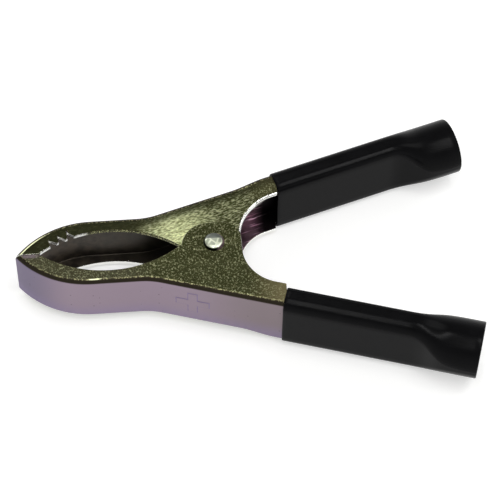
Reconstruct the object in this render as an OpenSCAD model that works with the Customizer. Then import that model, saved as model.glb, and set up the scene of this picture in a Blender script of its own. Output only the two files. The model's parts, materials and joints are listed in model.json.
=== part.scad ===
// Crocodile clip lying on its side, jaws closed.
// Two identical channel-section arms turn on one rivet, a torsion spring between their ears closes
// the jaws, and a soft tube covers each handle. All sizes are in millimetres.

/* [Sheet metal] */
// Thickness of the steel sheet
sheet = 1; // [0.8:0.05:1.2]
// Inside radius of the folds between web and cheeks
fold_radius = 0.25; // [0.15:0.05:0.5]
// Outside width of the handle channel
channel_width = 15.2; // [13:0.1:18]
// Running gap between the nested cheeks of the two arms
cheek_gap = 0.05; // [0.03:0.01:0.1]

/* [Jaw] */
// Distance from the pivot to the tip of the jaw
jaw_reach = 43.4; // [40:0.1:50]
// Distance from the pivot to where the back of the jaw starts to curve down to the tip
belly_reach = 27; // [22:0.5:30]
// Height of the back of the jaw above the closing line
jaw_height = 8.5; // [7:0.1:9.5]
// Gap between the two closed noses
nose_gap = 0.8; // [0.4:0.1:1]
// Distance from the pivot to the back end of the mouth
mouth_back = 7; // [6.5:0.1:8]
// Length of the closed nose in front of the mouth
nose_length = 4.6; // [4:0.1:6]
// Height of the mouth's edge above the closing line
mouth_height = 5.5; // [4.5:0.1:6]

/* [Teeth] */
// Number of notches that cut the teeth into the inner cheek of each arm
notch_count = 3; // [2:1:4]
// Distance from the front end of the mouth to the first notch
notch_start = 3.9; // [3:0.1:4.5]
// Distance between notches
notch_pitch = 2.1; // [1.8:0.1:2.6]
// Width of a notch at the mouth's edge
notch_width = 1.5; // [1:0.1:1.8]
// Depth of a notch
notch_depth = 1.5; // [0.8:0.1:1.8]

/* [Pivot] */
// Diameter of the rivet's shank
rivet_diameter = 3.4; // [3:0.1:4]
// Radial clearance of the rivet in the ears
rivet_clearance = 0.05; // [0.02:0.01:0.08]
// Diameter of the rivet's heads
head_diameter = 4.6; // [4.2:0.1:6]
// Height of the rivet's heads
head_height = 0.8; // [0.7:0.1:1.2]
// Height of the rim under the rivet's domed heads
head_edge = 0.2; // [0.1:0.05:0.3]
// Distance from the pivot to the ears' edge on the handle's side
ear_half = 6.1; // [5.5:0.1:7]
// Distance from the pivot to the end of the ears
ear_drop = 5.1; // [4.9:0.05:5.4]
// Radius of the ears' corner on the handle's side
ear_corner = 4; // [3:0.1:4.3]
// Radius of the ears' corner on the jaw's side
ear_front_radius = 6.1; // [5.8:0.1:6.3]
// Distance from the pivot to that corner's centre, towards the jaw
ear_front_lead = 1; // [0.8:0.1:1.2]

/* [Handle] */
// Angle of the handle to the closing line
handle_angle = 17; // [14:0.5:20]
// Distance from the pivot to the back of the handle
handle_offset = 12.3; // [11.5:0.1:14]
// Radius of the bend in the back between jaw and handle
knee_radius = 16; // [8:1:24]
// Distance along the handle from the pivot to the end of the channel
handle_reach = 48; // [44:0.5:52]
// Depth of the handle channel under the sleeve
handle_depth = 4; // [3.5:0.1:4.4]
// Depth of the channel just in front of the sleeve
shoulder_depth = 5.5; // [5:0.05:5.8]
// Length of the slope from that depth to the handle's depth
shoulder_length = 0.4; // [0.3:0.1:0.8]
// Radius of the throat between the ears and the handle
throat_radius = 9.3; // [8:0.1:10]
// Length of the joggle that brings the inner cheek out to the full width
joggle_length = 2.8; // [2:0.1:3.2]
// Distance from the joggle to the sleeve's mouth
joggle_lead = 1.5; // [1.2:0.1:2.2]

/* [Sleeve] */
// Wall of the sleeve
sleeve_wall = 0.6; // [0.5:0.05:0.8]
// Clearance between sleeve and metal
sleeve_clearance = 0.05; // [0.03:0.01:0.1]
// Distance along the handle from the pivot to the sleeve's mouth
sleeve_start = 18.2; // [17:0.1:20]
// Distance from the end of the channel to where the sleeve starts to turn round
sleeve_overhang = 0.6; // [0.3:0.1:1.5]
// Length over which the sleeve turns from flat to round
sleeve_blend = 7; // [5:0.5:9]
// Length of the round open end
tube_length = 6; // [4:0.2:9]
// Outside diameter of the round end
tube_diameter = 12.6; // [11:0.1:14]
// Depth of the tube's axis below the sleeve's back
tube_axis_depth = 3.5; // [3:0.1:4]
// Outside radius of the sleeve's corners on the open side of the channel
sleeve_corner = 1.1; // [1:0.1:1.4]

/* [Spring] */
// Diameter of the spring wire
wire_diameter = 1.4; // [1.1:0.1:1.6]
// Gap between the coil and the rivet
coil_gap = 0.3; // [0.2:0.05:0.5]
// Gap between the ends of the coil and the ears
coil_end_gap = 0.15; // [0.1:0.05:0.4]
// Whole turns of the coil
coil_turns = 5; // [4:1:5]
// Distance along the handle from the pivot to the end of each leg
leg_reach = 20; // [19:0.5:24]
// Gap between a leg and the web that it presses on
leg_gap = 0.05; // [0.03:0.01:0.1]

/* [Hidden] */
$fn = 64;
// Reach of construction shapes that only trim others
far = 200;
// Flat steps along each fold, and along the bend between jaw and handle
fold_steps = 8;
knee_steps = 6;
// Flat steps along the edges of the mouth, the ears and the throat
mouth_steps = 24;
ear_steps = 12;
throat_steps = 14;
// Flat steps along each corner of the sleeve, and rings along its blend
corner_steps = 8;
blend_rings = 8;
// Sides of the wire and rings in one turn of the coil
wire_sides = 10;
coil_rings = 14;
// Flat steps along the dome of each rivet head
dome_steps = 6;

// Lengths that meet share numbers of a whole micron
function to_micron(size) = round(size * 1000) / 1000;

// Across the clip: one cheek of each arm lies inside the other arm's cheek
half_width = channel_width / 2;
nesting = sheet + cheek_gap;
inner_half = half_width - nesting;
clear_half = inner_half - sheet;
bend_radius = fold_radius + sheet;

// Back of the jaw: an arc from the tip to the belly, a straight, and a bend into the handle
nose_half = nose_gap / 2;
jaw_drop = jaw_height - nose_half;
jaw_run = jaw_reach - belly_reach;
jaw_radius = to_micron((jaw_run * jaw_run + jaw_drop * jaw_drop) / (2 * jaw_drop));
// The arc runs on past the tip, where the nose is trimmed
jaw_turn = ceil(atan2(jaw_run, jaw_radius - jaw_drop)) + 4;
knee_x = (jaw_height - handle_offset / cos(handle_angle)) / tan(handle_angle);
knee_run = knee_radius * tan(handle_angle / 2);
knee_start_x = to_micron(knee_x - knee_run);
knee_end_u = knee_x * cos(handle_angle) + jaw_height * sin(handle_angle) + knee_run;

// Ears: the arc of their front starts, at this angle, where the mouth's edge ends
ear_front_from = 189;
ear_front_y = ear_front_radius - ear_drop;
ear_joint_y = ear_front_y + ear_front_radius * sin(ear_front_from);
ear_front_step = (270 - ear_front_from) / ear_steps;
ear_centre_y = ear_corner - ear_drop;

// Mouth between the jaws
mouth_length = jaw_reach - mouth_back - nose_length;
mouth_mid_x = -mouth_back - mouth_length / 2;
mouth_radius = (pow(mouth_length / 2, 2) + mouth_height * mouth_height) / (2 * mouth_height);
mouth_centre_y = mouth_height - mouth_radius;
mouth_front_angle = acos((nose_half - mouth_centre_y) / mouth_radius);
mouth_back_angle = acos((ear_joint_y - mouth_centre_y) / mouth_radius);
mouth_degree = mouth_radius * PI / 180;
notch_step = notch_pitch / mouth_degree;
notch_half = notch_width / 2 / mouth_degree;
notch_first = mouth_front_angle - notch_start / mouth_degree;

// Throat between ear and handle, tangent to both
throat_edge_v = handle_offset - shoulder_depth;
throat_v = throat_edge_v - throat_radius;
throat_x = ear_half + throat_radius;
throat_y = (throat_v + throat_x * sin(handle_angle)) / cos(handle_angle);
handle_edge_v = handle_offset - handle_depth;
joggle_end_u = sleeve_start - joggle_lead;
joggle_start_u = joggle_end_u - joggle_length;
shoulder_end_u = sleeve_start - sleeve_clearance;
shoulder_start_u = shoulder_end_u - shoulder_length;

// Cheek depths that reach past every edge they are trimmed to
jaw_flange = jaw_height + sheet;
ear_flange = handle_offset + ear_drop + ear_half;

// Sleeve, in the handle's own directions: u along it, v away from the pivot, z across
sleeve_margin = sleeve_clearance + sleeve_wall;
sleeve_back_v = handle_offset + sleeve_margin;
// The round corners of the sleeve's inside pass outside the square corners of the cheeks' edges
inner_corner = sleeve_corner - sleeve_wall;
corner_reach = inner_corner - sleeve_clearance;
edge_gap = sleeve_clearance + inner_corner - sqrt(inner_corner * inner_corner - corner_reach * corner_reach);
sleeve_low_v = handle_edge_v - edge_gap - sleeve_wall;
tube_v = sleeve_back_v - tube_axis_depth;
tube_radius = tube_diameter / 2;
tube_bore = tube_radius - sleeve_wall;
blend_start_u = handle_reach + sleeve_overhang;
blend_end_u = blend_start_u + sleeve_blend;
sleeve_end_u = blend_end_u + tube_length;
// The blend's end lies inside the wall of the round end, this far from both its faces
tube_sink = sleeve_wall / 7;
tube_overlap = tube_length / 8;

// Spring
coil_radius = rivet_diameter / 2 + coil_gap + wire_diameter / 2;
coil_half = clear_half - coil_end_gap - wire_diameter / 2;
leg_end_v = handle_offset - sheet - leg_gap - wire_diameter / 2;
leg_end_distance = norm([leg_reach, leg_end_v]);
leg_angle = handle_angle + atan2(leg_end_v, leg_reach) - asin(coil_radius / leg_end_distance);
leg_length = sqrt(leg_end_distance * leg_end_distance - coil_radius * coil_radius);
coil_sweep = 360 * coil_turns + 180 - 2 * leg_angle;

// Place of the pivot over the surface that the clip lies on, with the clip's box centred on the origin
rivet_half = half_width + cheek_gap + head_height;
end_rim_x = sleeve_end_u * cos(handle_angle) - (tube_v - tube_radius) * sin(handle_angle);
pivot_x = (jaw_reach - end_rim_x) / 2;
pivot_z = max(rivet_half, half_width + sleeve_margin);

// Points of an arc, for outlines
function arc(centre, radius, from, to, steps) =
    [for (i = [0:steps]) let (a = from + (to - from) * i / steps) centre + radius * [cos(a), sin(a)]];

// Outline of the folded section: s runs inward from the back of the web, z across the clip
function channel_outline(low, high, flange) = concat(
    [[flange, low]],
    arc([bend_radius, low + bend_radius], bend_radius, 270, 180, fold_steps),
    arc([bend_radius, high - bend_radius], bend_radius, 180, 90, fold_steps),
    [[flange, high], [flange, high - sheet]],
    arc([bend_radius, high - bend_radius], fold_radius, 90, 180, fold_steps),
    arc([bend_radius, low + bend_radius], fold_radius, 180, 270, fold_steps),
    [[flange, low + sheet]]
);

// Side faces of a solid lofted through rings of equal point count
function loft_sides(rings, sides) =
    [for (r = [0:rings - 2], i = [0:sides - 1])
        let (a = r * sides + i, b = r * sides + (i + 1) % sides)
        [a, b, b + sides, a + sides]];

// Flips faces over
function flipped(faces) = [for (f = faces) [for (i = [len(f) - 1:-1:0]) f[i]]];

// Turns children from the clip's directions to the handle's
module along_handle() {
    rotate([0, 0, handle_angle]) children();
}

// A ring of the section across the knee, turned from the jaw's direction, seen from the jaw's end of it
function knee_ring(turn, flange) =
    [for (p = channel_outline(-half_width, inner_half, flange))
        [(knee_radius + p[0]) * cos(turn) - knee_radius, p[1], -(knee_radius + p[0]) * sin(turn)]];

// A ring of the section across the handle at u, from the same view
function handle_ring(u, high) =
    [for (p = channel_outline(-half_width, high, ear_flange)) let (v = handle_offset - p[0])
        [
            jaw_height - u * sin(handle_angle) - v * cos(handle_angle),
            p[1],
            knee_start_x - u * cos(handle_angle) + v * sin(handle_angle)
        ]];

// The knee and the handle, whose inner cheek moves out by a sheet thickness at the joggle
module bent_handle() {
    rings = concat(
        [handle_ring(handle_reach, half_width)],
        [handle_ring(joggle_end_u, half_width)],
        [handle_ring(joggle_start_u, inner_half)],
        [for (i = [knee_steps:-1:1]) knee_ring(handle_angle * i / knee_steps, ear_flange)],
        [knee_ring(0, jaw_flange)]
    );
    sides = len(rings[0]);
    last = (len(rings) - 1) * sides;
    // Across each end, the outside of the sheet pairs with the inside, point by point
    strip = [for (i = [0:sides / 2 - 2]) [i + 1, i, sides - 1 - i, sides - 2 - i]];
    far_strip = [for (f = flipped(strip)) [for (i = f) i + last]];
    translate([knee_start_x, jaw_height, 0])
        rotate([90, 0, -90])
            polyhedron(
                [for (r = rings) each r],
                concat(strip, loft_sides(len(rings), sides), far_strip),
                convexity = 4
            );
}

// The folded sheet before its edges are trimmed
module folded_blank() {
    jaw_section = channel_outline(-half_width, inner_half, jaw_flange);
    translate([-belly_reach, jaw_height - jaw_radius, 0])
        rotate([0, 0, 90])
            rotate_extrude(angle = jaw_turn)
                translate([jaw_radius, 0])
                    mirror([1, 0])
                        polygon(jaw_section);
    translate([knee_start_x, jaw_height, 0])
        rotate([90, 0, -90])
            linear_extrude(knee_start_x + belly_reach)
                polygon(jaw_section);
    bent_handle();
}

// A point at an angle along the mouth's edge, counted from its middle towards the tip, and raised from it
function mouth_point(angle, rise = 0) = let (r = mouth_radius + rise)
    [mouth_mid_x - r * sin(angle), mouth_centre_y + r * cos(angle)];

// A point in the handle's directions, turned to the clip's
function handle_point(u, v) =
    [u * cos(handle_angle) - v * sin(handle_angle), u * sin(handle_angle) + v * cos(handle_angle)];

// Edge of the mouth from the nose to the ear
function mouth_edge() = [for (i = [0:mouth_steps])
    mouth_point(mouth_front_angle - (mouth_front_angle + mouth_back_angle) * i / mouth_steps)];

// Saw-shaped notches in plan, near the nose; each reaches a sheet thickness past the mouth's edge
module notch_plan() {
    for (k = [0:notch_count - 1]) {
        middle = notch_first - k * notch_step;
        polygon([
            mouth_point(middle + notch_half, -sheet),
            mouth_point(middle + notch_half),
            mouth_point(middle + notch_half / 2, notch_depth),
            mouth_point(middle - notch_half),
            mouth_point(middle - notch_half, -sheet)
        ]);
    }
}

// Plan of what is left of the blank: nose, mouth, ears, throat and handle
module trimmed_plan() {
    ear_side = ear_half - ear_corner;
    front_from = ear_front_from + ear_front_step;
    polygon(concat(
        [[-jaw_reach - sheet, nose_half]],
        mouth_edge(),
        arc([-ear_front_lead, ear_front_y], ear_front_radius, front_from, 270, ear_steps - 1),
        arc([ear_side, ear_centre_y], ear_corner, 270, 360, ear_steps),
        arc([throat_x, throat_y], throat_radius, 180, 90 + handle_angle, throat_steps),
        [
            handle_point(shoulder_start_u, throat_edge_v),
            handle_point(shoulder_end_u, handle_edge_v),
            handle_point(far, handle_edge_v),
            handle_point(far, far),
            [-jaw_reach - sheet, far]
        ]
    ));
}

// One stamping, as the upper arm lies: back towards +y, its outer ear underneath, its toothed cheek on top
module arm_stamping() {
    difference() {
        intersection() {
            folded_blank();
            translate([0, 0, -channel_width]) linear_extrude(2 * channel_width) trimmed_plan();
        }
        linear_extrude(channel_width) notch_plan();
        cylinder(h = 2 * channel_width, r = rivet_diameter / 2 + rivet_clearance, center = true);
    }
}

// A ring of the sleeve at u, sunk inward by wall, with turn going from 0, flat, to 1, round
function sleeve_ring(u, turn, wall, round_radius) = let (
    low_v = sleeve_low_v + wall,
    back_v = sleeve_back_v - wall,
    half_z = half_width + sleeve_margin - wall,
    back_corner = bend_radius + sleeve_margin - wall,
    low_corner = sleeve_corner - wall,
    corners = [
        [back_v - back_corner, half_z - back_corner, back_corner],
        [low_v + low_corner, half_z - low_corner, low_corner],
        [low_v + low_corner, low_corner - half_z, low_corner],
        [back_v - back_corner, back_corner - half_z, back_corner]
    ]
) [for (k = [0:3], j = [0:corner_steps - 1])
    let (
        a = 90 * k + 90 * (j + 0.5) / corner_steps,
        c = corners[k] * (1 - turn) + [tube_v, 0, round_radius] * turn
    )
    [u, c[0] + c[2] * cos(a), c[1] + c[2] * sin(a)]];

// The sleeve from its round end to its mouth: u and roundness of each ring
function sleeve_stations() = concat(
    [[blend_end_u + tube_overlap, 1]],
    [for (i = [blend_rings:-1:0])
        [blend_start_u + sleeve_blend * i / blend_rings, sin(90 * i / blend_rings)]],
    [[sleeve_start, 0]]
);

// One soft tube, as the upper one lies
module handle_sleeve() {
    stations = sleeve_stations();
    sides = 4 * corner_steps;
    rings = len(stations);
    // The inside's flats stay clear of the bore, so the bore is a true cylinder
    end_inside = (tube_bore + tube_sink) / cos(180 / sides);
    outside = [for (s = stations) each sleeve_ring(s[0], s[1], 0, tube_radius - tube_sink)];
    inside = [for (s = stations) each sleeve_ring(s[0], s[1], sleeve_wall, end_inside)];
    skin = loft_sides(rings, sides);
    first_inner = rings * sides;
    last = (rings - 1) * sides;
    along_handle() {
        polyhedron(
            concat(outside, inside),
            concat(
                skin,
                [for (f = flipped(skin)) [for (i = f) first_inner + i]],
                [for (i = [0:sides - 1]) let (j = (i + 1) % sides)
                    [i, first_inner + i, first_inner + j, j]],
                [for (i = [0:sides - 1]) let (j = (i + 1) % sides)
                    [last + i, last + j, first_inner + last + j, first_inner + last + i]]
            ),
            convexity = 4
        );
        translate([blend_end_u, tube_v, 0])
            rotate([0, 90, 0])
                difference() {
                    cylinder(h = tube_length, r = tube_radius);
                    translate([0, 0, -tube_length / 2]) cylinder(h = 2 * tube_length, r = tube_bore);
                }
    }
}

// Centre line of the spring wire: one leg, the coil and the other leg
function wire_route() = let (
    steps = ceil(coil_sweep / 360 * coil_rings),
    first = 90 + leg_angle,
    tip = leg_length * [cos(leg_angle), sin(leg_angle)],
    coil = [for (i = [0:steps])
        let (a = first + coil_sweep * i / steps)
        [coil_radius * cos(a), coil_radius * sin(a), coil_half * (1 - 2 * i / steps)]]
) concat(
    [coil[0] + [tip[0], tip[1], 0]],
    coil,
    [coil[steps] + [tip[0], -tip[1], 0]]
);

// Direction of a route at a point
function heading(route, i) = let (
    d = route[min(i + 1, len(route) - 1)] - route[max(i - 1, 0)]
) d / norm(d);

// Places the pivot over the origin's surface
module placed() {
    translate([pivot_x, 0, pivot_z]) children();
}

// Turns the stamping and its sleeve over, to lie as the lower ones do
module turned_over() {
    rotate([180, 0, 0]) children();
}

module lower_arm() {
    color("darkkhaki") placed() turned_over() arm_stamping();
}

module upper_arm() {
    color("darkkhaki") placed() arm_stamping();
}

// Points of a rivet head's dome, from the axis out to the rim
function dome() = let (
    rim = head_diameter / 2,
    rise = head_height - head_edge,
    radius = (rim * rim + rise * rise) / (2 * rise),
    spread = asin(rim / radius)
) [for (i = [0:dome_steps]) let (a = spread * i / dome_steps)
    [radius * sin(a), rivet_half - radius + radius * cos(a)]];

// Half of the rivet's outline, from its axis out, turned to make the shank and both heads
module rivet_outline() {
    top = dome();
    head_base = rivet_half - head_height;
    quarter = concat(top, [[head_diameter / 2, head_base], [rivet_diameter / 2, head_base]]);
    last = len(quarter) - 1;
    polygon(concat(quarter, [for (i = [last:-1:0]) [quarter[i][0], -quarter[i][1]]]));
}

module pivot_rivet() {
    color("silver") placed() rotate_extrude() rivet_outline();
}

module torsion_spring() {
    route = wire_route();
    points = [for (i = [0:len(route) - 1])
        let (d = heading(route, i), side = cross(d, [0, 0, 1]) / norm(cross(d, [0, 0, 1])), up = cross(side, d))
        for (k = [0:wire_sides - 1])
            let (a = 360 * k / wire_sides)
            route[i] + wire_diameter / 2 * (cos(a) * side + sin(a) * up)];
    first_end = [for (k = [wire_sides - 1:-1:0]) k];
    last_end = [for (k = [0:wire_sides - 1]) (len(route) - 1) * wire_sides + k];
    faces = concat([first_end], loft_sides(len(route), wire_sides), [last_end]);
    color("dimgray") placed() polyhedron(points, faces, convexity = 10);
}

module lower_sleeve() {
    color("black") placed() turned_over() handle_sleeve();
}

module upper_sleeve() {
    color("black") placed() handle_sleeve();
}

lower_arm();
upper_arm();
pivot_rivet();
torsion_spring();
lower_sleeve();
upper_sleeve();
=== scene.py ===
"""Crocodile clip on a pale studio floor: folded steel arms, rivet, closing spring and soft sleeves."""
import json
import math

import bmesh
import bpy
import numpy as np
from mathutils import Matrix, Vector


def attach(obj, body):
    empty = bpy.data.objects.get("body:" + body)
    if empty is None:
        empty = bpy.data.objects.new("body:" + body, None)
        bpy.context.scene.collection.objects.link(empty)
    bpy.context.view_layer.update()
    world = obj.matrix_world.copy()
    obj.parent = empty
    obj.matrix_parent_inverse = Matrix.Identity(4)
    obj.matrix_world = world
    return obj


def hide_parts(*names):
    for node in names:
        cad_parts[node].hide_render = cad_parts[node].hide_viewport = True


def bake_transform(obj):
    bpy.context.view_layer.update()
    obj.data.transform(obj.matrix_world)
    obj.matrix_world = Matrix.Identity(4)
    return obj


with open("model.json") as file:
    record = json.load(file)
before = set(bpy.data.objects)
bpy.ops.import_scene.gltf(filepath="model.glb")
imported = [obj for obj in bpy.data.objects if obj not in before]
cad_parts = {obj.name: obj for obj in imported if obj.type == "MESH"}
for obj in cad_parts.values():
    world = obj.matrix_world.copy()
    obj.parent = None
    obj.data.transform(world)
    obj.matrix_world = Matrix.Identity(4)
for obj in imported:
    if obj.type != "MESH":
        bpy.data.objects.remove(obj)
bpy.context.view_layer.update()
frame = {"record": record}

# Millimetres to metres
MM = 0.001
HINGE = frame["record"]["behaviour"]["joints"][0]
PIVOT = np.array(HINGE["pos_m"])

# Sizes of the clip in millimetres and degrees, as the CAD part has them
SHEET = 1.0
FOLD_RADIUS = 0.25
BEND_RADIUS = FOLD_RADIUS + SHEET
HALF_WIDTH = 7.6
CHEEK_GAP = 0.05
INNER_HALF = HALF_WIDTH - SHEET - CHEEK_GAP
JAW_REACH = 43.4
BELLY_REACH = 27.0
JAW_HEIGHT = 8.5
NOSE_HALF = 0.4
NOSE_LENGTH = 4.6
MOUTH_BACK = 7.0
MOUTH_HEIGHT = 5.5
NOTCH_COUNT = 3
NOTCH_START = 3.9
NOTCH_PITCH = 2.1
NOTCH_WIDTH = 1.5
NOTCH_DEPTH = 1.5
RIVET_RADIUS = 1.7
RIVET_HOLE_RADIUS = 1.75
HEAD_RADIUS = 2.3
HEAD_HEIGHT = 0.8
EAR_HALF = 6.1
EAR_DROP = 5.1
EAR_CORNER = 4.0
EAR_FRONT_RADIUS = 6.1
EAR_FRONT_LEAD = 1.0
EAR_FRONT_FROM = 189.0
HANDLE_ANGLE = 17.0
HANDLE_OFFSET = 12.3
KNEE_RADIUS = 16.0
HANDLE_REACH = 48.0
HANDLE_DEPTH = 4.0
SHOULDER_DEPTH = 5.5
SHOULDER_LENGTH = 0.4
THROAT_RADIUS = 9.3
# The sheet flows into the joggle over a longer way than the plain ramp of the solid
JOGGLE_LENGTH = 8.0
JOGGLE_LEAD = 1.5
SLEEVE_WALL = 0.6
SLEEVE_CLEARANCE = 0.05
SLEEVE_START = 18.2
SLEEVE_OVERHANG = 0.6
SLEEVE_BLEND = 7.0
SLEEVE_CORNER = 1.1
TUBE_LENGTH = 6.0
TUBE_RADIUS = 6.3
TUBE_AXIS_DEPTH = 3.5
WIRE_RADIUS = 0.7
COIL_GAP = 0.3
COIL_END_GAP = 0.15
COIL_TURNS = 5
LEG_REACH = 20.0
LEG_GAP = 0.05

# The rivet head's domed face, and the heights of the head's base and of the top of its sloping foot
FACE_RADIUS = 1.95
FACE_RISE = 0.4
FACE_FULLNESS = 0.7
HEAD_BASE = HALF_WIDTH + CHEEK_GAP
FOOT_TOP = HEAD_BASE + HEAD_HEIGHT - FACE_RISE

COS_HANDLE = math.cos(math.radians(HANDLE_ANGLE))
SIN_HANDLE = math.sin(math.radians(HANDLE_ANGLE))

# The throat's edge on the handle, its arc's centre and where the arc ends along the handle
THROAT_EDGE_V = HANDLE_OFFSET - SHOULDER_DEPTH
THROAT_X = EAR_HALF + THROAT_RADIUS
THROAT_Y = (THROAT_EDGE_V - THROAT_RADIUS + THROAT_X * SIN_HANDLE) / COS_HANDLE
THROAT_END_U = THROAT_X * COS_HANDLE + THROAT_Y * SIN_HANDLE

# The camera that fits the picture, in degrees and millimetres. The picture's width and the focal length are
# in pixels.
VIEW_HEIGHT = 57.707
VIEW_TURN = 5.614
VIEW_LEAN = 1.25
VIEW_TARGET = (0.892, 1.827, 8.98)
VIEW_DISTANCE = 544.085
PICTURE_PIXELS = 500
FOCAL_PIXELS = 2455.0
SENSOR_WIDTH = 36.0


def linear(hex_colour):
    """An sRGB hex colour as linear red, green, blue and alpha."""
    parts = [int(hex_colour[i:i + 2], 16) / 255 for i in (1, 3, 5)]
    return [p / 12.92 if p <= 0.04045 else ((p + 0.055) / 1.055) ** 2.4 for p in parts] + [1.0]


def add_node(tree, kind, inputs=(), output=None, **settings):
    """Adds a node with its settings and its inputs, by name or in order, and gives one of its outputs.

    An input that is a socket is linked, a hex colour is turned to linear, and any other value is set."""
    node = tree.nodes.new(kind)
    for name, value in settings.items():
        setattr(node, name, value)
    for key, value in inputs.items() if isinstance(inputs, dict) else enumerate(inputs):
        if isinstance(value, bpy.types.NodeSocket):
            tree.links.new(value, node.inputs[key])
        else:
            node.inputs[key].default_value = linear(value) if isinstance(value, str) else value
    return node.outputs[output] if output else next(socket for socket in node.outputs if socket.enabled)


def new_material(name):
    """An empty material with its node tree and its Principled shader."""
    material = bpy.data.materials.new(name)
    material.use_nodes = True
    tree = material.node_tree
    return material, tree, tree.nodes["Principled BSDF"]


# Kinds of nodes and settings that come up often
MATH = "ShaderNodeMath"
MIX = "ShaderNodeMix"
RANGE = "ShaderNodeMapRange"
NOISE = "ShaderNodeTexNoise"
VORONOI = "ShaderNodeTexVoronoi"
MAPPING = "ShaderNodeMapping"
SPLIT = "ShaderNodeSeparateXYZ"
COLOURS = {"data_type": "RGBA"}
SMOOTH = {"interpolation_type": "SMOOTHSTEP"}
TEXTURE = {"vector_type": "TEXTURE"}

# Turn of a pattern that runs along the handle
ALONG_HANDLE = (0, 0, math.radians(HANDLE_ANGLE))


def about_pivot(tree):
    """Millimetres about the pivot, as a piece lies while the jaws are closed."""
    place = add_node(tree, "ShaderNodeTexCoord", output="Object")
    return add_node(tree, MAPPING, {"Vector": place, "Location": PIVOT, "Scale": (MM, MM, MM)}, **TEXTURE)


def stamping_place(tree):
    """Millimetres about the pivot with both arms and both sides folded into one, as the arms are alike."""
    x = add_node(tree, SPLIT, [about_pivot(tree)])
    side = add_node(tree, MATH, [x.node.outputs["Y"]], operation="ABSOLUTE")
    across = add_node(tree, MATH, [x.node.outputs["Z"]], operation="ABSOLUTE")
    return add_node(tree, "ShaderNodeCombineXYZ", [x, side, across])


# Places on the stamping, in millimetres about the pivot; a pair is where a change begins and where it ends
OUTER_CHEEK_Z = (7.0, 7.2)
GLARE_PLACE = (-7.2, 2.4, 6.5)
GLARE_REACH = (1.5, 10.5)
JAW_X = (-20.0, -12.0)
LILAC_NOSE_X = (-39.5, -37.5)
LILAC_NOSE_Y = (0.9, 1.6)
NEAR_SLEEVE_X = (5.5, 15.5)
JOGGLE_FROM_U = 8.5
JOGGLE_BELOW_V = 10.9
SHADE_BY_FOLD_V = (8.8, JOGGLE_BELOW_V)
HIGHLIGHT_TIP_X = (-38.5, -35.0)
HIGHLIGHT_BELLY_X = -26.4
HIGHLIGHT_BELLY_REACH = (0.8, 1.6)
WEB_BACK_X = (-8.0, 10.0)
WEB_NOSE_SHADE_X = (-42.0, -31.0)
DEEP_JAW_SHADE_X = (-34.0, -14.0)
WINE_X = (0.0, 6.0)
SLEEVE_SHADE_X = (9.5, 12.5)
DARK_MOUTH_FRONT_X = (-28.5, -27.0)
DARK_MOUTH_BACK_X = (-7.0, -3.0)

# Heights above the table, in metres, over which the web's film turns bluer
WEB_LOW_HEIGHT = (1 * MM, 8 * MM)

# How level the sheet lies, from 0 on the web to 1 on a cheek, at the fold's painted shade, its painted
# highlight and the cheek
FOLD_SHADE_LEVEL = (0.26, 0.46)
HIGHLIGHT_LEVEL = (0.88, 0.93)
HIGHLIGHT_TOP_LEVEL = (0.97, 0.99)
CHEEK_LEVEL = (0.93, 0.98)

# Levels of noise between which a pattern comes up
OUTER_FLECKS = 0.53
INNER_FLECKS = 0.45
FULL_FLECKS = 0.72
GLARE_PATCHES = (0.36, 0.62)
HIGHLIGHT_DOTS = (0.5, 0.62)
STAINS = (0.35, 0.65)
STREAK_HIGHLIGHTS = (0.6, 0.68)

# Most of a noise lies between these levels, and a speck's rim fades over these shares of its cell
NOISE_SPAN = (0.3, 0.7)
SPECK_RIM = (0.05, 0.08)

# How fast the painted glare fades, how strongly the cheek is tinted brown and painted paler by the sleeve,
# and its relief in millimetres
GLARE_FALL = 1.25
SLEEVE_TINT = 0.65
RELIEF_DEPTH = 0.06

CHEEK_ROUGHNESS = 0.28
BY_SLEEVE_ROUGHNESS = 0.48
WEB_ROUGHNESS = 0.55
INSIDE_ROUGHNESS = (0.3, 0.45)
PVC_ROUGHNESS = (0.21, 0.27)


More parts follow.
